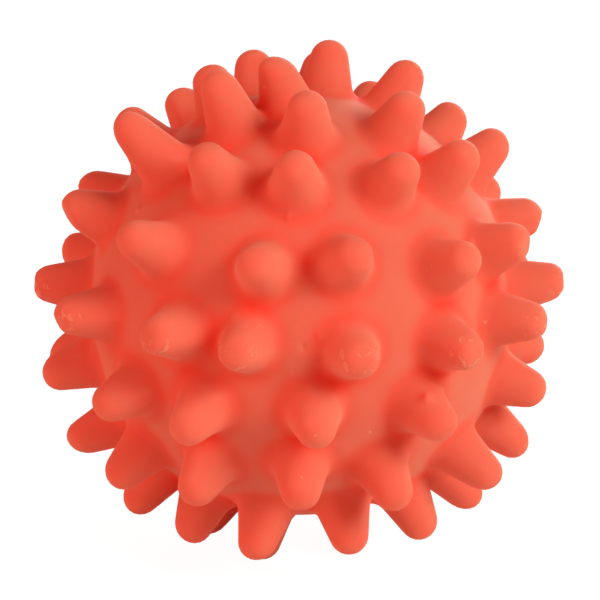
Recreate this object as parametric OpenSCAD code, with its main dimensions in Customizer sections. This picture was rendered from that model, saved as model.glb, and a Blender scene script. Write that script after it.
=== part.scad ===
// Spiky squeeze ball: a hollow latex skin with its spikes moulded on, and a push-in squeaker at the back.
// Millimetres, +Z up, the ball stands on three of its spikes at z = 0, the viewer looks along +Y.

/* [Ball] */
// Diameter of the ball between the spikes
core_d = 60; // [58:0.5:66]
// Thickness of the latex wall
wall_t = 2.4; // [2:0.1:3]

/* [Spikes] */
// Height of a spike above the ball
spike_h = 7.5; // [6.5:0.25:8.5]
// Diameter of a spike's round tip
tip_d = 5.4; // [4.8:0.1:5.8]
// Half angle of a spike's sides in degrees
spike_taper = 10.5; // [8:0.5:11]
// Radius of the flare round a spike's foot
flare_r = 1.5; // [1:0.1:1.8]

/* [Squeaker] */
// Diameter of the flange that shows at the back
flange_d = 12; // [11:0.25:13]
// Thickness of the flange
flange_t = 0.9; // [0.7:0.05:1.1]
// Diameter of the neck that the skin grips
neck_d = 8; // [7.6:0.1:8.6]
// How far the barb stands out from the neck
barb_w = 1.3; // [0.9:0.1:1.6]
// Length of the barb's slope
barb_l = 2.6; // [2:0.1:3.2]
// Length of the squeaker behind its flange
barrel_l = 17; // [16:0.5:20]
// Diameter of the bore that holds the reed
bore_d = 5.6; // [5.2:0.1:6]
// Diameter of the air hole
air_d = 2.4; // [2:0.1:2.8]

/* [Reed] */
// Length of the reed's seat
seat_l = 11; // [10.5:0.25:12]
// Length of the clip that holds the reed's root
clip_l = 4; // [3.5:0.25:4.5]
// Width of the reed
reed_w = 3.6; // [3.2:0.1:4]
// Thickness of the reed
reed_t = 0.15; // [0.1:0.01:0.2]
// Length of the reed past the clip
reed_free_l = 6; // [5:0.25:6.5]
// Angle at which the seat falls away below the reed in degrees
seat_fall = 4; // [3:0.5:5]
// Width of the seat's air groove
groove_w = 1.6; // [1.2:0.1:2]
// Depth of that groove
groove_d = 1.1; // [0.8:0.1:1.4]

/* [Hidden] */
$fn = 64;

// Rows of spikes from the top down. Each row has its latitude and then its spikes, each with its azimuth
// from the viewer's side and its own rise above the row, in degrees, uneven as in a hand-made mould.
SPIKE_ROWS = [
    [79, [[-28, 2], [148, 0]]],
    [65, [[2, -1], [55, -4], [108, 0], [172, -4], [-150, 0], [-92, 3], [-47, 0]]],
    [45, [[-2, 1], [32, 0], [60, -1], [94, -5], [121, -1], [156, 1], [-168, 1], [-134, 1],
          [-98, 0], [-61, 1], [-31, 1]]],
    [24, [[-10, 0], [12, 2], [42, -2], [65, -2], [99, -3], [122, -2], [146, 0], [168, 0],
          [-168, 0], [-138, 0], [-110, 0], [-79, 2], [-43, 1]]],
    [4, [[-13, 1], [13, 0], [40, -1], [64, 0], [85, 3], [112, 0], [134, 0], [155, 0],
         [-155, 0], [-132, 0], [-110, 2], [-86, 1], [-62, 0], [-32, 2]]],
    [-14, [[4, 2], [33, 1], [75, -2], [104, 0], [134, 0], [160, -2], [-160, -2], [-131, 0],
           [-102, 0], [-79, 0], [-48, 1], [-25, 1]]],
    [-32, [[1, 2], [26, 0], [60, -2], [86, 1], [113, 0], [140, 0], [180, -1], [-147, 0],
           [-112, 0], [-80, -1], [-56, -2], [-27, 0]]],
    [-54, [[-14, -1], [20, 2], [55, 1], [86, 5], [120, 2], [156, 0], [-166, 2], [-135, 0],
           [-106, 3], [-76, 4], [-49, -2]]],
    [-69, [[-100, -1], [139, 0]]],
    [-78, [[-42, 0], [82, 0], [-160, 0]]],
];
// Every spike with its azimuth and latitude
SPIKES = [for (row = SPIKE_ROWS) for (s = row[1]) [s[0], row[0] + s[1]]];
// Turn of the ball's surface seam in degrees
SEAM_TURN = [80, 0, 0];
SEAM_SPIN = -15;
// Latitude of the three spikes that the ball stands on
LEG_LAT = 78;
// Angle between two curves of the profile where they meet, so that they cross and don't just touch
CROSS = 8;

core_r = core_d / 2;
tip_r = tip_d / 2;
inner_r = core_r - wall_t;
// Spike profile, with its height measured from the ball's centre
cap_s = core_r + spike_h - tip_r;
root_s = core_r - wall_t / 2;
side_top = [tip_r * cos(spike_taper + CROSS), cap_s + tip_r * sin(spike_taper + CROSS)];
side_dir = [sin(spike_taper), -cos(spike_taper)];
side_out = [cos(spike_taper), sin(spike_taper)];
// Flare centre: its arc meets the side and sinks a little way into the ball
sink_share = 0.1;
flare_off = flare_r * cos(CROSS);
flare_reach = core_r + flare_r * (1 - sink_share);
flare_base = side_top + side_out * flare_off;
flare_along = along_to(flare_base, side_dir, flare_reach);
flare_c = flare_base + side_dir * flare_along;
flare_foot = flare_c * (1 - flare_r / norm(flare_c));
side_low = side_top + side_dir * flare_along;
// Height of the ball's centre over the floor
centre_z = cap_s * sin(LEG_LAT) + tip_r;

// Squeaker, with its length measured from the ball's centre
land_share = 1.15;
land_r = flange_d / 2 * land_share;
land_s = sqrt(core_r * core_r - land_r * land_r);
face_s = land_s + flange_t;
pad_s = land_s - wall_t;
neck_r = neck_d / 2;
barb_r = neck_r + barb_w;
barb_s = pad_s - barb_l;
barrel_s = land_s - barrel_l;
chamfer = flange_t / 3;
air_r = air_d / 2;
fit_gap = 0.05;
bore_r = bore_d / 2;
insert_r = bore_r - fit_gap;
mouth_share = 0.05;
mouth_l = seat_l * mouth_share;
floor_s = barrel_s + mouth_l + seat_l;
clip_s = floor_s - clip_l;
tongue_s = clip_s - reed_free_l;
root_l = clip_l - 2 * reed_t;
// Part of the tongue's tip that lies on the seat past the end of the groove
seal_share = 0.2;
groove_s = tongue_s + reed_free_l * seal_share;

latex = [0.91, 0.33, 0.25];
plastic = [0.93, 0.92, 0.88];
film = [0.85, 0.72, 0.35];

// Distance along dir from p at which the point lies at the radius reach
function along_to(p, dir, reach) =
    let (b = p * dir, c = p * p - reach * reach) -b - sqrt(b * b - c);

module spike_profile() {
    difference() {
        union() {
            intersection() {
                translate([0, cap_s])
                    circle(tip_r);
                translate([0, root_s])
                    square([tip_d, core_r]);
            }
            polygon([[0, root_s], [flare_foot[0], root_s], flare_foot, flare_c, side_low, side_top, [0, cap_s]]);
        }
        translate(flare_c)
            circle(flare_r);
    }
}

module spike() {
    rotate_extrude()
        spike_profile();
}

module at_direction(azimuth, latitude) {
    rotate([0, 0, azimuth])
        rotate([90 - latitude, 0, 0])
            children();
}

// The ball comes first in the loop, so that it and its spikes join in one step. It is turned so that the
// seam of its surface runs clear of the spikes' edges.
module spiky_ball() {
    for (i = [0 : len(SPIKES)])
        if (i == 0)
            rotate(SEAM_TURN)
                rotate([0, 0, SEAM_SPIN])
                    sphere(core_r);
        else
            at_direction(SPIKES[i - 1][0], SPIKES[i - 1][1])
                spike();
}

// Puts a piece drawn along +Z on the squeaker's axis, which leaves the ball along +Y
module on_squeaker_axis() {
    translate([0, 0, centre_z])
        rotate([-90, 0, 0])
            children();
}

module ball_skin() {
    color(latex)
        difference() {
            translate([0, 0, centre_z])
                spiky_ball();
            difference() {
                translate([0, 0, centre_z])
                    sphere(inner_r);
                on_squeaker_axis()
                    translate([0, 0, pad_s])
                        cylinder(r = core_r, h = core_r);
            }
            on_squeaker_axis()
                translate([0, 0, land_s])
                    cylinder(r = land_r + wall_t, h = wall_t);
            on_squeaker_axis()
                translate([0, 0, pad_s - wall_t])
                    cylinder(r = neck_r + fit_gap, h = wall_t * 3);
        }
}

module squeaker_body() {
    color(plastic)
        on_squeaker_axis()
            rotate_extrude()
                polygon([
                    [bore_r, barrel_s],
                    [neck_r - chamfer, barrel_s],
                    [neck_r, barrel_s + chamfer],
                    [neck_r, barb_s],
                    [barb_r, pad_s],
                    [neck_r, pad_s],
                    [neck_r, land_s],
                    [flange_d / 2, land_s],
                    [flange_d / 2, face_s - chamfer],
                    [flange_d / 2 - chamfer, face_s],
                    [air_r + chamfer, face_s],
                    [air_r, face_s - chamfer],
                    [air_r, floor_s],
                    [bore_r, floor_s],
                ]);
}

// The half of a round insert on the side of the reed's plane that side gives, from y = off outwards
module half_insert(length, off, side) {
    intersection() {
        translate([0, 0, floor_s - length])
            cylinder(r = insert_r, h = length);
        translate([-bore_d, side > 0 ? off : -bore_d + off, floor_s - length])
            cube([2 * bore_d, bore_d, length]);
    }
}

module reed_seat() {
    color(plastic)
        on_squeaker_axis()
            difference() {
                half_insert(seat_l, 0, -1);
                translate([0, 0, clip_s])
                    rotate([-seat_fall, 0, 0])
                        translate([-bore_d, 0, -seat_l])
                            cube([2 * bore_d, bore_d, seat_l]);
                translate([-groove_w / 2, -groove_d, groove_s])
                    cube([groove_w, bore_d, seat_l]);
            }
}

module reed_clip() {
    color(plastic)
        on_squeaker_axis()
            half_insert(clip_l, reed_t, 1);
}

module reed() {
    color(film)
        on_squeaker_axis()
            translate([-reed_w / 2, 0, tongue_s])
                cube([reed_w, reed_t, reed_free_l + root_l]);
}

ball_skin();
squeaker_body();
reed_seat();
reed_clip();
reed();
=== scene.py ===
"""Looks of a spiky latex squeeze ball with a push-in squeaker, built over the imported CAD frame.

Everything is in metres in the frame's axes: +Z up, -Y toward the viewer, the floor at z = 0.
"""
import math

import bpy
import numpy as np
from mathutils import Matrix, Vector


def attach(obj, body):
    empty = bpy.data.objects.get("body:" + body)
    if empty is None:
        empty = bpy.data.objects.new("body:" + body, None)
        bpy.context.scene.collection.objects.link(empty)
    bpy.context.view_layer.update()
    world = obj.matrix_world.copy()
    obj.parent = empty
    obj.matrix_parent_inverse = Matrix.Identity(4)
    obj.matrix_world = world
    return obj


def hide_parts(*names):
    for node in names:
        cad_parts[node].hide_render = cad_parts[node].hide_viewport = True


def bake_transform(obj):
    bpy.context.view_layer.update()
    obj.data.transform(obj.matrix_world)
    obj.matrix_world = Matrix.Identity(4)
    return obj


MM = 0.001

# Least length that a vector is divided by, and least cosine at which a plane is looked for along a direction
TINY = 1e-12
FACING_MIN = 0.5

# Sizes of the ball and of its spikes, as in the CAD
CORE_R = 30 * MM
WALL_T = 2.4 * MM
INNER_R = CORE_R - WALL_T
SPIKE_H = 7.5 * MM
TIP_R = 2.7 * MM
CAP_S = CORE_R + SPIKE_H - TIP_R
LEG_LATITUDE = math.radians(78)
CENTRE = np.array([0, 0, CAP_S * math.sin(LEG_LATITUDE) + TIP_R])

# Soft shape of a spike: half angle of its sides, radius of the hollow round its foot, points of each stretch
SIDE_TAPER = math.radians(14)
FLARE_R = 2.3 * MM
PROFILE_POINTS = 60

# Uneven heights: share of a spike's height, and the wave over the spikes' numbers that spreads it
UNEVEN_SHARE = 0.02
UNEVEN_STEP = 2.4
UNEVEN_START = 0.7

# Rows of spikes from the top down: latitude, then each spike's azimuth and its own rise above the row
SPIKE_ROWS = [
    (79, [(-28, 2), (148, 0)]),
    (65, [(2, -1), (55, -4), (108, 0), (172, -4), (-150, 0), (-92, 3), (-47, 0)]),
    (45, [(-2, 1), (32, 0), (60, -1), (94, -5), (121, -1), (156, 1), (-168, 1), (-134, 1),
          (-98, 0), (-61, 1), (-31, 1)]),
    (24, [(-10, 0), (12, 2), (42, -2), (65, -2), (99, -3), (122, -2), (146, 0), (168, 0),
          (-168, 0), (-138, 0), (-110, 0), (-79, 2), (-43, 1)]),
    (4, [(-13, 1), (13, 0), (40, -1), (64, 0), (85, 3), (112, 0), (134, 0), (155, 0),
         (-155, 0), (-132, 0), (-110, 2), (-86, 1), (-62, 0), (-32, 2)]),
    (-14, [(4, 2), (33, 1), (75, -2), (104, 0), (134, 0), (160, -2), (-160, -2), (-131, 0),
           (-102, 0), (-79, 0), (-48, 1), (-25, 1)]),
    (-32, [(1, 2), (26, 0), (60, -2), (86, 1), (113, 0), (140, 0), (180, -1), (-147, 0),
           (-112, 0), (-80, -1), (-56, -2), (-27, 0)]),
    (-54, [(-14, -1), (20, 2), (55, 1), (86, 5), (120, 2), (156, 0), (-166, 2), (-135, 0),
           (-106, 3), (-76, 4), (-49, -2)]),
    (-69, [(-100, -1), (139, 0)]),
    (-78, [(-42, 0), (82, 0), (-160, 0)]),
]

# Spikes that lean, by row and azimuth: how far the tip is moved to the right and up, in millimetres, as the
# viewer sees it. The lean grows with a power of the height.
LEANS = {
    79: {-28: (-1.5, -0.8)},
    65: {-150: (0.2, -0.4), -92: (0.3, -0.8), -47: (-0.6, 1.1), 55: (0, -0.4), 108: (0.3, 0.3)},
    45: {-134: (0, -0.5), -98: (0.5, 0), -61: (-2.1, 2.3), 32: (-0.1, -0.4), 60: (-0.5, 0), 94: (-0.2, 0.5),
         121: (-0.7, -0.2)},
    24: {-110: (0, -0.9), -79: (-0.1, -0.6), -43: (-0.2, 0.2), -10: (-0.3, 0), 12: (0.3, -0.2),
         42: (-0.4, 0.1), 65: (-0.6, 0), 99: (-0.4, -0.8), 122: (-0.9, -0.5)},
    4: {-110: (0.3, 0.4), -86: (-0.6, -0.2), 40: (-0.7, -0.3), 64: (0.2, 0), 85: (0, 0.5), 112: (-1.4, -0.3)},
    -14: {-102: (-0.4, -2.2), -79: (-0.2, -0.4), -25: (0.1, -0.4), 75: (-0.2, 0.3), 104: (0.1, 0.3)},
    -32: {-80: (-1.4, 0.6), -56: (0.1, -0.4), 60: (0.9, -0.1), 86: (0.8, -1.5)},
    -54: {-76: (-0.5, -1.0), -49: (0.5, 0), -14: (-0.6, 0), 55: (0, -0.3), 86: (1.4, -0.9)},
    -69: {-100: (-1.2, -0.4)},
    -78: {-160: (-1.3, 0), 82: (0.9, 0)},
}
LEAN_POWER = 1.2
VIEW_ELEVATION = 16

# Tips trimmed by hand, by row and azimuth: how far the cut leans from the spike's axis to the right and up,
# as the viewer sees it, and its depth below the round tip in millimetres. The cut's edge is a little round.
TRIMS = {
    24: {-110: (-0.2, -0.8, 0.6), -79: (-0.1, -0.9, 0.9), 65: (0.2, -0.5, 0.6), 99: (0, -0.7, 0.6)},
    4: {-155: (-0.2, 0, 0.4), -132: (0, 0.2, 0.5), -110: (0, -0.1, 0.35), -86: (0, -0.1, 0.4),
        -62: (-0.1, -0.4, 0.5), -32: (-0.1, 0.1, 0.35), -13: (0, 0.1, 0.3), 13: (0, 0.1, 0.35),
        40: (0.1, 0, 0.35), 64: (0.1, 0.1, 0.5), 85: (0.1, 0, 0.25), 112: (0.1, 0.1, 0.4),
        134: (0, 0.2, 0.4), 155: (0.1, -0.1, 0.5)},
}
TRIM_EDGE = 0.12 * MM

# Ring round a spike's foot where shade is painted in as a deeper red: its radius and half width
SHADE_RING_R = 4.6 * MM
SHADE_RING_W = 1.3 * MM

# Grid of the skin: cells along a cube's edge, the ring of cells round the squeaker's hole, the ring out to
# which the grid is fully round, and the steps per unit within which points of two faces count as one
GRID_CELLS = 126
HOLE_RING = 11
ROUND_RINGS = 28
JOIN_STEPS = 1e6

# Inside of the skin: rows down the hole's wall and across the pad, as shares, and rows of the bowl
WALL_SHARES = (0.08, 0.5, 0.92, 1)
PAD_SHARES = (0.1, 0.9, 1)
BOWL_ROWS = 24

# Squeaker: flat land in the skin, hole for the neck and the body's own sizes, as in the CAD
FLANGE_R = 6 * MM
FLANGE_T = 0.9 * MM
LAND_SHARE = 1.15
LAND_R = FLANGE_R * LAND_SHARE
LAND_S = math.sqrt(CORE_R ** 2 - LAND_R ** 2)
PAD_S = LAND_S - WALL_T
NECK_R = 4 * MM
FIT_GAP = 0.05 * MM
HOLE_R = NECK_R + FIT_GAP
BARB_W = 1.3 * MM
BARB_L = 2.6 * MM
BARREL_L = 17 * MM
BARREL_S = LAND_S - BARREL_L
SEAT_L = 11 * MM
MOUTH_SHARE = 0.05
FLOOR_S = BARREL_S + SEAT_L * (1 + MOUTH_SHARE)
BORE_R = 2.8 * MM
AIR_R = 1.2 * MM
CHAMFER = FLANGE_T / 3
EDGE_R = CHAMFER / 3
RING_R = 3.9 * MM
RING_W = 0.7 * MM
RING_D = 0.2 * MM
LATHE_SIDES = 96

# Land: rounding of its edge, and how fast its plane lifts away past the edge, per radian squared
LAND_EDGE = 0.08 * MM
LAND_LIFT = 250 * MM

# Reed: film tongue that bends at the edge of its clip, as in the CAD
REED_W = 3.6 * MM
REED_T = 0.15 * MM
REED_EDGE_R = REED_T / 6
CLIP_L = 4 * MM
FREE_L = 6 * MM
CLIP_S = FLOOR_S - CLIP_L
TONGUE_S = CLIP_S - FREE_L
ROOT_S = CLIP_S + CLIP_L - 2 * REED_T
REED_ROWS = 49

# Mould's parting line: height above the ball's centre, and its wander round the ball
PARTING_Z = 2.4 * MM
PARTING_WANDER = 0.35 * MM
WANDER_WAVES = 3
WANDER_START = 0.5

# Ridge that the parting line leaves: height, half width, mean share of the height, and the waves round the
# ball that make it uneven. It stops short of the squeaker, at this cosine from the squeaker's axis.
RIDGE_H = 0.12 * MM
RIDGE_W = 0.45 * MM
RIDGE_SHARE = 0.65
RIDGE_WAVES = (23, 57)
RIDGE_START = 1
RIDGE_STOP = 0.93

# Pimples left by bubbles in the mould: azimuth, latitude, height and radius in millimetres
PIMPLES = np.array([
    (31, -8, 0.80, 0.72), (-33, 14, 0.40, 0.42), (-4, 38, 0.40, 0.42), (-17, 11, 0.35, 0.40),
    (1, 5, -0.40, 0.45), (4, 2, 0.40, 0.42), (5, 8, 0.34, 0.40), (-2, -2, 0.30, 0.40),
    (-4, -9, 0.25, 0.36), (57, 26, 0.35, 0.40), (-62, 24, 0.30, 0.38), (10, 42, 0.25, 0.36),
    (-62, 33, 0.32, 0.40), (118, 8, 0.35, 0.42), (150, -24, 0.30, 0.40), (-142, 12, 0.40, 0.45),
    (-120, -22, 0.30, 0.38), (100, 52, 0.30, 0.40), (-160, 58, 0.35, 0.42), (175, 12, 0.25, 0.36),
    (70, -44, 0.30, 0.38), (-90, -44, 0.32, 0.40), (20, -72, 0.30, 0.38), (-150, -62, 0.28, 0.36),
])
PIMPLE_PULL = 0.55
PIMPLE_REACH = math.radians(4)

# Grain of a moulding: cells of its mottle and of its fine grain per metre, and the grain's height
LATEX_GRAIN = (140, 1600, 0.012 * MM)
PLASTIC_GRAIN = (420, 5000, 0.003 * MM)

# Roughness of a finish: what its pattern adds, and what it starts from
LATEX_ROUGH = (0.16, 0.54)
PLASTIC_ROUGH = (0.2, 0.32)
FILM_ROUGH = (0.14, 0.12)

# Latex: both tones of its mottle, painted shade as a deeper red round the spikes' feet, where on the ring it
# starts and is full, gloss, and how far light spreads inside it, with the shares of red, green and blue
LATEX_TONES = ((0.79, 0.128, 0.073, 1), (0.81, 0.170, 0.098, 1))
FOOT_SHADE_TONE = (0.92, 0.049, 0.024, 1)
FOOT_SHADE_EDGE = (-0.2, 2.4)
LATEX_GLOSS = 0.04
LATEX_SPREAD = 2.5 * MM
LATEX_SPREAD_SHARES = (1.0, 0.08, 0.05)

# Flash on the tips: its tone, the share of it that shows, and its height
FLASH_TONE = (0.90, 0.30, 0.17, 1)
FLASH_SHARE = 0.55
FLASH_H = 0.12 * MM

# Flash, as crooked lines and as a crooked rim round the tip: cells of their noise per metre, and the values
# at which each starts and is full. The rim swings in from its outer radius, in millimetres.
LINE_CELLS = 420
LINE_EDGE = (0.040, 0.012)
RIM_CELLS = 330
RIM_SWING = 1.6
RIM_OUT = 2.9
RIM_EDGE = (0.30, 0.10)

# Where the flash lies: millimetres from a line below the seam, share of a spike's height, and patches
SEAM_DROP = 1.0
SEAM_EDGE = (3.2, 1.6)
TIP_EDGE = (0.62, 0.74)
PATCH_CELLS = 800
PATCH_EDGE = (0.50, 0.56)

# Specks that burst bubbles leave all over: cells per metre, and how far from a cell's middle they reach
SPECK_CELLS = 170.0
SPECK_EDGE = (0.055, 0.025)

# Milky plastic: tones of its mottle, and how much and how far light spreads inside it
PLASTIC_TONES = ((0.80, 0.78, 0.71, 1), (0.88, 0.86, 0.80, 1))
PLASTIC_DEPTH = 0.3
PLASTIC_SPREAD = 1 * MM
PLASTIC_SPREAD_SHARES = (1.0, 0.9, 0.7)

# Amber film: tones of its streaks, their cells per metre across, along and through it, and their depth
FILM_TONES = ((0.72, 0.50, 0.17, 1), (0.82, 0.63, 0.28, 1))
STREAK_CELLS = (3000, 200, 3000)
STREAK_D = 0.002 * MM

# Floor: half width, its own colour, and the strength and share of the plain white that shows over it
FLOOR_HALF = 3.0
FLOOR_TONE = (0.85, 0.85, 0.85, 1)
WHITE_STRENGTH = 1.18
WHITE_SHARE = 0.8

# Light: the surround, and each lamp's azimuth, elevation, side in metres, watts and colour. The cool key
# and the warm fill keep the red of the latex even between light and shade.
SURROUND_TONE = (1, 0.8, 0.77, 1)
SURROUND_STRENGTH = 0.25
LAMP_AWAY = 0.9
LAMPS = {
    "key_lamp": (50, 31, 0.4, 7.6, (0.78, 1, 1)),
    "fill_lamp": (-58, 18, 0.8, 4.8, (1, 0.46, 0.4)),
    "back_lamp": (162, 13, 0.5, 4.5, (1, 1, 1)),
}

# Camera: distance, half width of the picture at the ball, aim above the ball's centre, turn about its own
# axis, width of the sensor in millimetres, and the near and far limits of what it sees
CAMERA_AWAY = 391 * MM
PICTURE_HALF = 42.6 * MM
AIM_UP = 0.43 * MM
CAMERA_ROLL = math.radians(1)
SENSOR_W = 36
CAMERA_LIMITS = (0.01, 50)


def direction(azimuth, latitude):
    """Unit vectors from azimuth and latitude in degrees: azimuth 0 is the viewer's side, -Y."""
    a, b = np.radians(azimuth), np.radians(latitude)
    return np.stack([np.cos(b) * np.sin(a), -np.cos(b) * np.cos(a), np.sin(b)], axis=-1)


def unit(vectors):
    """The vectors, each divided by its length."""
    return vectors / np.maximum(np.linalg.norm(vectors, axis=-1, keepdims=True), TINY)


def as_seen(right, up):
    """Vectors that point to the right and up as the viewer sees them."""
    tilt = math.radians(VIEW_ELEVATION)
    viewer_up = np.array([0, math.sin(tilt), math.cos(tilt)])
    return np.multiply.outer(right, [1, 0, 0]) + np.multiply.outer(up, viewer_up)


def soft_least(a, b, edge):
    """The lesser of a and b with the corner between them rounded: -edge log(exp(-a/edge) + exp(-b/edge))."""
    return -edge * np.logaddexp(-a / edge, -b / edge)


def smooth_step(x):
    """0 below 0, 1 above 1, and 3x^2 - 2x^3 between them."""
    x = np.clip(x, 0, 1)
    return x * x * (3 - 2 * x)


def spike_axes():
    """For each spike from the rows: its axis, how far its tip is moved by its lean, the way that its cut
    faces and the cut's depth. The depth of a tip that isn't trimmed is minus infinity."""
    upright, whole = (0, 0), (0, 0, -math.inf)
    places = [(az, lat + rise, *LEANS.get(lat, {}).get(az, upright), *TRIMS.get(lat, {}).get(az, whole))
              for lat, row in SPIKE_ROWS for az, rise in row]
    azimuth, latitude, right, up, cut_right, cut_up, depth = np.array(places, float).T
    axes = direction(azimuth, latitude)
    return axes, MM * as_seen(right, up), unit(axes + as_seen(cut_right, cut_up)), MM * depth


def spike_profile():
    """Angle from the spike's axis, distance from the ball's centre and length along the profile.

    From the axis out, the curve is an arc of the tip's radius, a straight side that leans out by the
    taper, and a hollow arc of the flare's radius that touches both the side and the ball.
    """
    turn = np.linspace(math.pi / 2, SIDE_TAPER, PROFILE_POINTS)
    cap = np.stack([TIP_R * np.cos(turn), CAP_S + TIP_R * np.sin(turn)], axis=1)
    down = np.array([math.sin(SIDE_TAPER), -math.cos(SIDE_TAPER)])
    out = np.array([math.cos(SIDE_TAPER), math.sin(SIDE_TAPER)])
    start = cap[-1] + out * FLARE_R
    half = start @ down
    rest = start @ start - (CORE_R + FLARE_R) ** 2
    hub = start + down * (-half - math.sqrt(half * half - rest))
    first = math.atan2(-out[1], -out[0])
    last = math.atan2(-hub[1], -hub[0])
    sweep = np.linspace(first, last, PROFILE_POINTS)
    flare = hub + FLARE_R * np.stack([np.cos(sweep), np.sin(sweep)], axis=1)
    side = np.linspace(cap[-1], flare[0], PROFILE_POINTS)
    curve = np.concatenate([cap, side[1:], flare[1:]])
    angle = np.arctan2(curve[:, 0], curve[:, 1])
    radius = np.hypot(curve[:, 0], curve[:, 1])
    along = np.concatenate([[0], np.cumsum(np.linalg.norm(np.diff(curve, axis=0), axis=1))])
    return angle, radius, along


def rounded_face(i, j, square):
    """Grid of the cube's face toward +Y, with the square rings near its middle drawn round.

    A ring becomes a circle whose angle from the axis grows evenly from the hole to the face's edge, and
    the place on the ring's side becomes the turn about the axis. A smooth share goes back to the square.
    """
    half = GRID_CELLS // 2
    hole = math.asin(HOLE_R / math.hypot(HOLE_R, LAND_S))
    eighth = math.pi / 4
    ring = np.maximum(abs(i), abs(j))
    safe = np.maximum(ring, 1)
    steep = abs(j) > abs(i)
    turn = np.where(steep, math.pi / 2 - i / safe * np.sign(j) * eighth, j / safe * np.sign(i) * eighth)
    turn = turn + np.where(np.where(steep, j, i) < 0, math.pi, 0)
    tilt = hole + (eighth - hole) * (ring - HOLE_RING) / (half - HOLE_RING)
    circle = np.stack([np.sin(tilt) * np.cos(turn), np.sin(tilt) * np.sin(turn), np.cos(tilt)], axis=-1)
    share = smooth_step((half - ring) / (half - ROUND_RINGS))[..., None]
    return unit(circle * share + square * (1 - share))


def cube_sphere():
    """Directions and quads of a sphere, and the ring of points round the squeaker's hole.

    Each of a cube's six faces is a grid with lines at equal angles. On the face toward +Y, the last of
    them, the grid is round near the middle, so that the hole and the land have true circles, and the
    cells inside the hole are left out.
    """
    half = GRID_CELLS // 2
    frames = [((1, 0, 0), (0, 1, 0), (0, 0, 1)), ((-1, 0, 0), (0, -1, 0), (0, 0, 1)),
              ((0, -1, 0), (1, 0, 0), (0, 0, 1)), ((0, 0, 1), (1, 0, 0), (0, 1, 0)),
              ((0, 0, -1), (-1, 0, 0), (0, 1, 0)), ((0, 1, 0), (-1, 0, 0), (0, 0, 1))]
    step = np.arange(-half, half + 1)
    i, j = np.meshgrid(step, step)
    x, y = np.tan(i / half * math.pi / 4), np.tan(j / half * math.pi / 4)
    square = unit(np.stack([x, y, np.ones_like(x)], axis=-1))
    grids = [square] * (len(frames) - 1) + [rounded_face(i, j, square)]
    points = np.concatenate([(g @ np.array([a, b, n], float)).reshape(-1, 3)
                             for g, (n, a, b) in zip(grids, frames)])
    index = np.arange(len(points)).reshape(len(frames), len(step), len(step))
    quads = np.stack([index[:, :-1, :-1], index[:, :-1, 1:], index[:, 1:, 1:], index[:, 1:, :-1]], axis=-1)
    middle = abs(step[:-1] + 0.5)
    keep = np.ones(quads.shape[:3], bool)
    keep[-1] = np.maximum(middle[None, :], middle[:, None]) > HOLE_RING
    rim = index[-1][np.maximum(abs(i), abs(j)) == HOLE_RING]
    _, first, merged = np.unique(np.round(points * JOIN_STEPS).astype(np.int64), axis=0,
                                 return_index=True, return_inverse=True)
    merged = merged.reshape(-1)
    used, packed = np.unique(merged[quads[keep]], return_inverse=True)
    places = points[first[used]]
    rim = np.searchsorted(used, merged[rim])
    rim = rim[np.argsort(np.arctan2(places[rim, 2], places[rim, 0]))]
    return places, packed.reshape(-1, 4), rim


def slide_to_spikes(dirs, axes, profile):
    """Moves each direction along the great circle from its nearest spike, so that points lie evenly
    along the spike's profile: equal shares of the angle become equal shares of the profile's length."""
    angle, _, along = profile
    apart = axes @ axes.T - 2 * np.eye(len(axes))
    reach = np.minimum(angle[-1], np.arccos(apart.max(axis=1)) / 2)
    near = np.argmax(dirs @ axes.T, axis=1)
    axis = axes[near]
    cosine = np.einsum("ij,ij->i", dirs, axis)
    across = dirs - cosine[:, None] * axis
    tilt = np.arctan2(np.linalg.norm(across, axis=1), cosine)
    limit = reach[near]
    length = np.interp(limit, angle, along)
    bent = np.interp(tilt / limit * length, along, angle)
    tilt = np.where(tilt < limit, bent, tilt)[:, None]
    return axis * np.cos(tilt) + unit(across) * np.sin(tilt)


def slide_to_pimples(dirs, spots):
    """Draws the grid together round each pimple: a direction goes a share of the way to the pimple's
    middle, and that share falls smoothly to nothing at the pimple's reach."""
    cosine = dirs @ spots.T
    near = np.argmax(cosine, axis=1)
    tilt = np.arccos(np.clip(cosine[np.arange(len(dirs)), near], -1, 1))
    fade = np.clip(1 - (tilt / PIMPLE_REACH) ** 2, 0, 1) ** 2
    return unit(dirs + (spots[near] - dirs) * (PIMPLE_PULL * fade)[:, None])


def spike_rises(dirs, axes, profile):
    """Rise of each spike above the ball along each direction: the profile, read at the angle between them."""
    angle, radius, _ = profile
    return np.interp(np.arccos(np.clip(dirs @ axes.T, -1, 1)), angle, radius - CORE_R, right=0)


def skin_reach(dirs, axes, cut, depth, profile):
    """Rise of all the spikes together, and distance of the skin from the ball's centre, along each direction.

    The rise is the root of the summed squares of the spikes' rises, each stretched by its own uneven
    height, but for the three legs. The distance is the ball's radius plus that rise, cut back to the
    planes of the trimmed tips and to the flat land round the squeaker, which lifts away past its edge.
    """
    number = np.arange(len(axes))
    legs = np.isclose(axes[:, 2], -math.sin(LEG_LATITUDE))
    stretch = np.where(legs, 1, 1 + UNEVEN_SHARE * np.sin(UNEVEN_STEP * number + UNEVEN_START))
    rise = np.sqrt(((spike_rises(dirs, axes, profile) * stretch) ** 2).sum(axis=1))
    near = np.argmax(dirs @ axes.T, axis=1)
    level = (CAP_S + SPIKE_H * (stretch - 1)) * (axes * cut).sum(axis=1) + TIP_R - depth
    trimmed = level[near] / np.maximum((dirs * cut[near]).sum(axis=1), FACING_MIN)
    reach = soft_least(CORE_R + rise, trimmed, TRIM_EDGE)
    past_land = np.maximum(np.arccos(np.clip(dirs[:, 1], -1, 1)) - math.asin(LAND_R / CORE_R), 0)
    flat = LAND_S / np.maximum(dirs[:, 1], FACING_MIN) + LAND_LIFT * past_land ** 2
    return rise, soft_least(reach, flat, LAND_EDGE)


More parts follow.
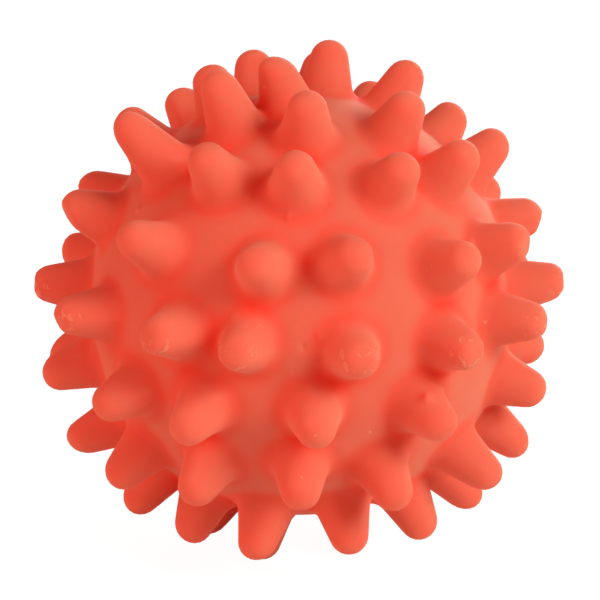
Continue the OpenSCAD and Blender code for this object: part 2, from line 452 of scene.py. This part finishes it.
def parting_line(points, dirs):
    """Gap of each point above the mould's parting line, and height of the ridge that the line leaves.

    The line goes up and down in waves round the ball. The ridge is a bell over the gap, made uneven by
    two waves multiplied, and there is none round the squeaker.
    """
    around = np.arctan2(points[:, 0], -points[:, 1])
    line = PARTING_Z + PARTING_WANDER * np.sin(WANDER_WAVES * around + WANDER_START) * np.cos(around)
    gap = points[:, 2] - line
    slow, fast = RIDGE_WAVES
    uneven = RIDGE_SHARE + (1 - RIDGE_SHARE) * np.sin(slow * around) * np.sin(fast * around + RIDGE_START)
    ridge = RIDGE_H * uneven * np.exp(-((gap / RIDGE_W) ** 2))
    return gap, np.where(dirs[:, 1] > RIDGE_STOP, 0, ridge)


def pimple_domes(points, spots, axes, profile):
    """Height of all the pimples together: for each a bell over the distance from its seat on the skin."""
    height, width = MM * PIMPLES[:, 2:].T
    seat_rise = np.sqrt((spike_rises(spots, axes, profile) ** 2).sum(axis=1))
    seats = spots * (CORE_R + seat_rise)[:, None]
    away = np.linalg.norm(points[:, None, :] - seats[None], axis=2)
    return (height * np.exp(-((away / width) ** 2))).sum(axis=1)


def point_normals(points, quads):
    """Unit normal at each point: the sum of the cross products of the diagonals of its quads."""
    face = np.cross(points[quads[:, 2]] - points[quads[:, 0]], points[quads[:, 3]] - points[quads[:, 1]])
    total = np.zeros_like(points)
    for corner in range(4):
        np.add.at(total, quads[:, corner], face)
    return unit(total)


def turned(profile, turn):
    """A profile of radius and length, turned about the squeaker's axis: one row for each of its points."""
    rho, along = profile[:, :1], profile[:, 1:]
    return np.stack([rho * np.cos(turn), along + 0 * turn, rho * np.sin(turn)], axis=-1)


def skin_inside(rim, turn, start):
    """Points, quads and end triangles of the skin's inside, numbered from start and joined to the rim.

    The profile is the hole's wall, the flat pad and an arc of the ball's inner radius. It is turned about
    the squeaker's axis, with one point for each point of the rim, and closed at the far pole.
    """
    pad_r = math.sqrt(INNER_R ** 2 - PAD_S ** 2)
    wall = [(HOLE_R, LAND_S - WALL_T * share) for share in WALL_SHARES]
    pad = [(HOLE_R + (pad_r - HOLE_R) * share, PAD_S) for share in PAD_SHARES]
    tilt = np.linspace(math.asin(pad_r / INNER_R), math.pi, BOWL_ROWS)[1:-1]
    bowl = INNER_R * np.stack([np.sin(tilt), np.cos(tilt)], axis=1)
    rows = turned(np.concatenate([wall, pad, bowl]), turn).reshape(-1, 3)
    pole = start + len(rows)
    order = np.concatenate([rim[None], np.arange(start, pole).reshape(-1, len(rim))])
    ahead = np.roll(order, -1, axis=1)
    quads = np.stack([order[:-1], order[1:], ahead[1:], ahead[:-1]], axis=-1).reshape(-1, 4)
    end = np.stack([ahead[-1], order[-1], np.full(len(rim), pole)], axis=-1)
    return np.concatenate([rows, [[0, -INNER_R, 0]]]), quads, end


def skin_surface():
    """Points, faces and marks for the material of the latex skin: outside, hole at the back and inside.

    A sphere's grid, drawn toward the spikes and the pimples, is pushed out to the skin's reach. Each spike
    is moved by its lean times a power of its rise. The parting line's ridge and the pimples then push the
    surface out along its normal, and the rim of the hole is set on its true circle.
    """
    profile = spike_profile()
    axes, lean, cut, depth = spike_axes()
    spots = direction(PIMPLES[:, 0], PIMPLES[:, 1])
    dirs, quads, rim = cube_sphere()
    dirs = slide_to_pimples(slide_to_spikes(dirs, axes, profile), spots)
    cosine = dirs @ axes.T
    near = np.argmax(cosine, axis=1)
    rise, reach = skin_reach(dirs, axes, cut, depth, profile)
    points = dirs * reach[:, None] + lean[near] * ((rise / SPIKE_H) ** LEAN_POWER)[:, None]
    gap, ridge = parting_line(points, dirs)
    bumps = ridge + pimple_domes(points, spots, axes, profile)
    points += point_normals(points, quads) * bumps[:, None]
    turn = np.arctan2(points[rim, 2], points[rim, 0])
    points[rim] = turned(np.array([[HOLE_R, LAND_S]]), turn)[0]
    inside, inner, end = skin_inside(rim, turn, len(points))

    spread = np.where(cosine > 0, np.sqrt(np.clip(1 - cosine ** 2, 0, 1)), 1)
    # Painted shade: a ring round each spike's foot, where the latex is made a deeper red as in shaded
    # crevices
    foot = np.exp(-(((spread * CORE_R - SHADE_RING_R) / SHADE_RING_W) ** 2)).sum(axis=1)
    spare = np.zeros(len(inside))
    marks = {"spike_rise": np.concatenate([rise / SPIKE_H, spare]),
             "axis_gap": np.concatenate([spread.min(axis=1) * reach / MM, spare + CORE_R / MM]),
             "foot": np.concatenate([foot, spare]),
             "seam_gap": np.concatenate([gap / MM, spare + SPIKE_H / MM])}
    return np.concatenate([points, inside]) + CENTRE, (quads, inner, end), marks


def rounded_outline(corners, radii, steps=5):
    """Closed outline with each corner made an arc of its own radius that touches both its sides."""
    back = unit(np.roll(corners, 1, axis=0) - corners)
    ahead = unit(np.roll(corners, -1, axis=0) - corners)
    half = np.arccos(np.clip((back * ahead).sum(axis=1), -1, 1)) / 2
    hub = corners + unit(back + ahead) * (radii / np.sin(half))[:, None]
    first = corners + back * (radii / np.tan(half))[:, None] - hub
    last = corners + ahead * (radii / np.tan(half))[:, None] - hub
    start = np.arctan2(first[:, 1], first[:, 0])
    sweep = np.arctan2(last[:, 1], last[:, 0]) - start
    sweep = (sweep + math.pi) % (2 * math.pi) - math.pi
    turn = start[:, None] + sweep[:, None] * np.linspace(0, 1, steps)
    arc = hub[:, None] + radii[:, None, None] * np.stack([np.cos(turn), np.sin(turn)], axis=-1)
    return arc.reshape(-1, 2)


def squeaker_surface():
    """Points and quads of the squeaker's body: its rounded outline turned about the squeaker's axis.

    The outline's corners are given by radius, length and rounding: from the bore out over the barrel, the
    barb and the flange with its shallow ring, and back in through the air hole.
    """
    face = LAND_S + FLANGE_T
    corners = np.array([
        (BORE_R, BARREL_S, EDGE_R), (NECK_R, BARREL_S, CHAMFER), (NECK_R, PAD_S - BARB_L, EDGE_R),
        (NECK_R + BARB_W, PAD_S, EDGE_R), (NECK_R, PAD_S, EDGE_R), (NECK_R, LAND_S, EDGE_R),
        (FLANGE_R, LAND_S, EDGE_R), (FLANGE_R, face, CHAMFER), (RING_R + RING_W, face, EDGE_R),
        (RING_R + RING_W / 2, face - RING_D, EDGE_R), (RING_R - RING_W / 2, face - RING_D, EDGE_R),
        (RING_R - RING_W, face, EDGE_R), (AIR_R, face, CHAMFER), (AIR_R, FLOOR_S, EDGE_R),
        (BORE_R, FLOOR_S, EDGE_R),
    ])
    outline = rounded_outline(corners[:, :2], corners[:, 2])
    points = turned(outline, np.linspace(0, 2 * math.pi, LATHE_SIDES, endpoint=False)).reshape(-1, 3)
    index = np.arange(len(points)).reshape(len(outline), LATHE_SIDES)
    ahead, above = np.roll(index, -1, axis=1), np.roll(index, -1, axis=0)
    corner = np.roll(above, -1, axis=1)
    quads = np.stack([index, above, corner, ahead], axis=-1).reshape(-1, 4)
    return points + CENTRE, quads


def reed_surface():
    """Points, quads and two ends of the reed: a flat section with eased corners, drawn along its length."""
    half = REED_W / 2
    corners = np.array([(-half, -REED_T), (half, -REED_T), (half, 0), (-half, 0)])
    section = rounded_outline(corners, np.full(len(corners), REED_EDGE_R), steps=2)
    along = np.linspace(TONGUE_S, ROOT_S, REED_ROWS)[:, None]
    across, through = section.T
    points = np.stack([across + 0 * along, along + 0 * across, through + 0 * along], axis=-1)
    index = np.arange(points[..., 0].size).reshape(REED_ROWS, len(section))
    ahead = np.roll(index, -1, axis=1)
    quads = np.stack([index[:-1], index[1:], ahead[1:], ahead[:-1]], axis=-1).reshape(-1, 4)
    ends = np.stack([index[0], index[-1, ::-1]])
    return points.reshape(-1, 3) + CENTRE, quads, ends


def make_mesh(name, points, *faces):
    """A mesh object from points and arrays of faces, smooth all over."""
    mesh = bpy.data.meshes.new(name)
    mesh.from_pydata(points.tolist(), [], [f for block in faces for f in block.tolist()])
    mesh.polygons.foreach_set("use_smooth", np.ones(len(mesh.polygons), bool))
    mesh.update()
    piece = bpy.data.objects.new(name, mesh)
    bpy.context.scene.collection.objects.link(piece)
    return piece


def add_node(tree, kind, inputs=None, **settings):
    """A node with its settings and its inputs, each a value or another node's output."""
    node = tree.nodes.new(kind)
    for name, value in settings.items():
        setattr(node, name, value)
    for key, value in (inputs or {}).items():
        if isinstance(value, bpy.types.NodeSocket):
            tree.links.new(value, node.inputs[key])
        else:
            node.inputs[key].default_value = value
    return node


def maths(tree, operation, *values):
    """Output of a math node."""
    return add_node(tree, "ShaderNodeMath", dict(enumerate(values)), operation=operation).outputs[0]


def step_between(tree, value, low, high):
    """Output that goes smoothly from 0 to 1 while value goes from low to high."""
    inputs = {"Value": value, "From Min": low, "From Max": high}
    return add_node(tree, "ShaderNodeMapRange", inputs, interpolation_type="SMOOTHSTEP").outputs[0]


def blend(tree, share, low, high):
    """Colour between low and high, which are sockets 6 and 7 of a mix node."""
    return add_node(tree, "ShaderNodeMix", {0: share, 6: low, 7: high}, data_type="RGBA").outputs[2]


def noise(tree, place, scale, detail=2.0):
    """Output of a noise texture."""
    inputs = {"Vector": place, "Scale": scale, "Detail": detail}
    return add_node(tree, "ShaderNodeTexNoise", inputs).outputs[0]


def grain_group():
    """Node group of a moulded surface: a soft mottle from 0 to 1 and a finely grained normal."""
    group = bpy.data.node_groups.new("moulded_grain", "ShaderNodeTree")
    for name, kind in (("Place", "Vector"), ("Mottle scale", "Float"), ("Grain scale", "Float"),
                       ("Grain height", "Float")):
        group.interface.new_socket(name, in_out="INPUT", socket_type="NodeSocket" + kind)
    for name, kind in (("Mottle", "Float"), ("Normal", "Vector")):
        group.interface.new_socket(name, in_out="OUTPUT", socket_type="NodeSocket" + kind)
    enter = group.nodes.new("NodeGroupInput").outputs
    mottle = noise(group, enter["Place"], enter["Mottle scale"], detail=4.0)
    grain = noise(group, enter["Place"], enter["Grain scale"], detail=3.0)
    bump = add_node(group, "ShaderNodeBump", {"Height": grain, "Distance": enter["Grain height"]})
    add_node(group, "NodeGroupOutput", {"Mottle": mottle, "Normal": bump.outputs[0]})
    return group


def add_grain(tree, group, place, mottle_scale, grain_scale, grain_height):
    """Mottle and normal of the grain group, placed in a material with its own values."""
    inputs = {"Place": place, "Mottle scale": mottle_scale, "Grain scale": grain_scale,
              "Grain height": grain_height}
    outputs = add_node(tree, "ShaderNodeGroup", inputs, node_tree=group).outputs
    return outputs["Mottle"], outputs["Normal"]


def plain_material(name):
    """A material with its node tree, its shader's inputs and the coordinates of the object."""
    material = bpy.data.materials.new(name)
    material.use_nodes = True
    tree = material.node_tree
    place = tree.nodes.new("ShaderNodeTexCoord").outputs["Object"]
    return material, tree, tree.nodes["Principled BSDF"].inputs, place


def flash_mask(tree, place):
    """Mask of the flash that was trimmed by hand where the parting line crosses the tips, and of the specks.

    Crooked lines lie where a noise is near its middle, and a crooked rim where the distance from the
    spike's axis is near a radius that swings with a noise. Both show only in patches on the tips near the
    seam. Specks lie at the middles of Voronoi cells all over the ball.
    """
    rise, seam, axis = (add_node(tree, "ShaderNodeAttribute", attribute_name=name).outputs["Fac"]
                        for name in ("spike_rise", "seam_gap", "axis_gap"))
    line = maths(tree, "ABSOLUTE", maths(tree, "SUBTRACT", noise(tree, place, LINE_CELLS), 0.5))
    line = step_between(tree, line, *LINE_EDGE)
    swing = maths(tree, "MULTIPLY_ADD", noise(tree, place, RIM_CELLS), RIM_SWING, -RIM_OUT)
    rim = maths(tree, "ABSOLUTE", maths(tree, "ADD", axis, swing))
    rim = step_between(tree, rim, *RIM_EDGE)
    near_seam = maths(tree, "ABSOLUTE", maths(tree, "ADD", seam, SEAM_DROP))
    near_seam = step_between(tree, near_seam, *SEAM_EDGE)
    on_tip = step_between(tree, rise, *TIP_EDGE)
    patch = step_between(tree, noise(tree, place, PATCH_CELLS), *PATCH_EDGE)
    zone = maths(tree, "MULTIPLY", maths(tree, "MULTIPLY", near_seam, on_tip), patch)
    flash = maths(tree, "MULTIPLY", maths(tree, "MAXIMUM", line, rim), zone)
    cells = add_node(tree, "ShaderNodeTexVoronoi", {"Vector": place, "Scale": SPECK_CELLS})
    return maths(tree, "MAXIMUM", flash, step_between(tree, cells.outputs["Distance"], *SPECK_EDGE))


def latex_material(group):
    """Soft matt latex with painted shade, a deeper red, round the spikes' feet, and paler flash that stands
    up a little.

    Light spreads inside it, red furthest.
    """
    material, tree, shader, place = plain_material("orange_red_latex")
    mottle, normal = add_grain(tree, group, place, *LATEX_GRAIN)
    flash = flash_mask(tree, place)
    # Painted shade: the base colour turns a deeper red on the ring round the spikes' feet
    foot = add_node(tree, "ShaderNodeAttribute", attribute_name="foot").outputs["Fac"]
    colour = blend(tree, mottle, *LATEX_TONES)
    colour = blend(tree, step_between(tree, foot, *FOOT_SHADE_EDGE), colour, FOOT_SHADE_TONE)
    colour = blend(tree, maths(tree, "MULTIPLY", flash, FLASH_SHARE), colour, FLASH_TONE)
    raised = add_node(tree, "ShaderNodeBump", {"Height": flash, "Distance": FLASH_H, "Normal": normal})
    tree.links.new(colour, shader["Base Color"])
    tree.links.new(raised.outputs[0], shader["Normal"])
    tree.links.new(maths(tree, "MULTIPLY_ADD", mottle, *LATEX_ROUGH), shader["Roughness"])
    shader["Specular IOR Level"].default_value = LATEX_GLOSS
    shader["Subsurface Weight"].default_value = 1.0
    shader["Subsurface Radius"].default_value = LATEX_SPREAD_SHARES
    shader["Subsurface Scale"].default_value = LATEX_SPREAD
    return material


def plastic_material(group):
    """Milky soft plastic of a small moulding: faint cloudiness and a fine satin grain."""
    material, tree, shader, place = plain_material("milky_plastic")
    mottle, normal = add_grain(tree, group, place, *PLASTIC_GRAIN)
    tree.links.new(blend(tree, mottle, *PLASTIC_TONES), shader["Base Color"])
    tree.links.new(normal, shader["Normal"])
    tree.links.new(maths(tree, "MULTIPLY_ADD", mottle, *PLASTIC_ROUGH), shader["Roughness"])
    shader["Subsurface Weight"].default_value = PLASTIC_DEPTH
    shader["Subsurface Radius"].default_value = PLASTIC_SPREAD_SHARES
    shader["Subsurface Scale"].default_value = PLASTIC_SPREAD
    return material


def film_material():
    """Amber polyester film: glossy, with a faint drawn streak along the tongue."""
    material, tree, shader, place = plain_material("amber_film")
    drawn = add_node(tree, "ShaderNodeMapping", {"Vector": place, "Scale": STREAK_CELLS})
    streak = noise(tree, drawn.outputs[0], 1.0)
    scratched = add_node(tree, "ShaderNodeBump", {"Height": streak, "Distance": STREAK_D})
    tree.links.new(blend(tree, streak, *FILM_TONES), shader["Base Color"])
    tree.links.new(maths(tree, "MULTIPLY_ADD", streak, *FILM_ROUGH), shader["Roughness"])
    tree.links.new(scratched.outputs[0], shader["Normal"])
    return material


def dress(node, material):
    """Gives a CAD node its material."""
    node.data.materials.clear()
    node.data.materials.append(material)


def floor_material():
    """Matt pale floor, mixed with plain white where it is seen, so that only a soft shadow shows."""
    material = bpy.data.materials.new("pale_floor")
    material.use_nodes = True
    tree = material.node_tree
    tree.nodes.clear()
    ray = tree.nodes.new("ShaderNodeLightPath").outputs
    seen = maths(tree, "MAXIMUM", ray["Is Camera Ray"], ray["Is Glossy Ray"])
    seen = maths(tree, "MAXIMUM", seen, ray["Is Transmission Ray"])
    share = maths(tree, "MULTIPLY", seen, WHITE_SHARE)
    matt = add_node(tree, "ShaderNodeBsdfDiffuse", {"Color": FLOOR_TONE}).outputs[0]
    white = add_node(tree, "ShaderNodeEmission", {"Strength": WHITE_STRENGTH}).outputs[0]
    mixed = add_node(tree, "ShaderNodeMixShader", {0: share, 1: matt, 2: white}).outputs[0]
    add_node(tree, "ShaderNodeOutputMaterial", {"Surface": mixed})
    return material


def add_lamp(name, azimuth, elevation, side, watts, colour):
    """A square area lamp that looks at the ball's centre from azimuth and elevation."""
    lamp = bpy.data.lights.new(name, "AREA")
    lamp.shape = "SQUARE"
    lamp.size = side
    lamp.energy = watts
    lamp.color = colour
    thing = bpy.data.objects.new(name, lamp)
    bpy.context.scene.collection.objects.link(thing)
    toward = Vector(direction(azimuth, elevation))
    thing.location = Vector(CENTRE) + toward * LAMP_AWAY
    thing.rotation_euler = toward.to_track_quat("Z", "Y").to_euler()


def make_stage():
    """Floor, surround and lamps."""
    corners = FLOOR_HALF * np.array([[-1, -1, 0], [1, -1, 0], [1, 1, 0], [-1, 1, 0]])
    floor = make_mesh("floor", corners, np.array([[0, 1, 2, 3]]))
    floor.data.materials.append(floor_material())
    world = bpy.data.worlds.new("surround")
    bpy.context.scene.world = world
    world.use_nodes = True
    surround = world.node_tree.nodes["Background"].inputs
    surround["Color"].default_value = SURROUND_TONE
    surround["Strength"].default_value = SURROUND_STRENGTH
    for name, settings in LAMPS.items():
        add_lamp(name, *settings)


def make_camera():
    """Camera at the photograph's viewing angle: a little above, long lens, turned one degree."""
    data = bpy.data.cameras.new("camera")
    camera = bpy.data.objects.new("camera", data)
    bpy.context.scene.collection.objects.link(camera)
    bpy.context.scene.camera = camera
    data.sensor_width = SENSOR_W
    data.lens = SENSOR_W / 2 * CAMERA_AWAY / PICTURE_HALF
    data.clip_start, data.clip_end = CAMERA_LIMITS
    toward = Vector(direction(0, VIEW_ELEVATION))
    turn = toward.to_track_quat("Z", "Y").to_matrix()
    aim = Vector(CENTRE) + turn.col[1] * AIM_UP
    roll = Matrix.Rotation(CAMERA_ROLL, 3, "Z")
    camera.matrix_world = Matrix.Translation(aim + toward * CAMERA_AWAY) @ (turn @ roll).to_4x4()


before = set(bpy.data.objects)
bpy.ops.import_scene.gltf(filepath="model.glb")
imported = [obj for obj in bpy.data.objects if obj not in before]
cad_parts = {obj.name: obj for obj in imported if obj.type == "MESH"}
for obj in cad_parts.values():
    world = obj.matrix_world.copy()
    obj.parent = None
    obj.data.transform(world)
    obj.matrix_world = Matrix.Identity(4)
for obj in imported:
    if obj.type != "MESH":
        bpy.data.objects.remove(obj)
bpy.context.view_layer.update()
bpy.context.scene.view_settings.view_transform = "Standard"
make_camera()
grain = grain_group()

# Skin, with what its material has to know of each point
points, faces, marks = skin_surface()
skin = make_mesh("latex_skin", points, *faces)
for name, values in marks.items():
    layer = skin.data.attributes.new(name, "FLOAT", "POINT")
    layer.data.foreach_set("value", values.astype(np.float32))
skin.data.materials.append(latex_material(grain))
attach(skin, "ball")
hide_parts("ball_skin")

# Squeaker's body, and the two inserts as the CAD has them
plastic = plastic_material(grain)
squeaker = make_mesh("squeaker", *squeaker_surface())
squeaker.data.materials.append(plastic)
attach(squeaker, "ball")
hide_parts("squeaker_body")
dress(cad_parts["reed_seat"], plastic)
dress(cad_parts["reed_clip"], plastic)

# Reed: a straight film tongue in place of the CAD's reed
reed = make_mesh("reed_tongue", *reed_surface())
reed.data.materials.append(film_material())
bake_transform(reed)
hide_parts("reed")

make_stage()
bpy.context.view_layer.update()
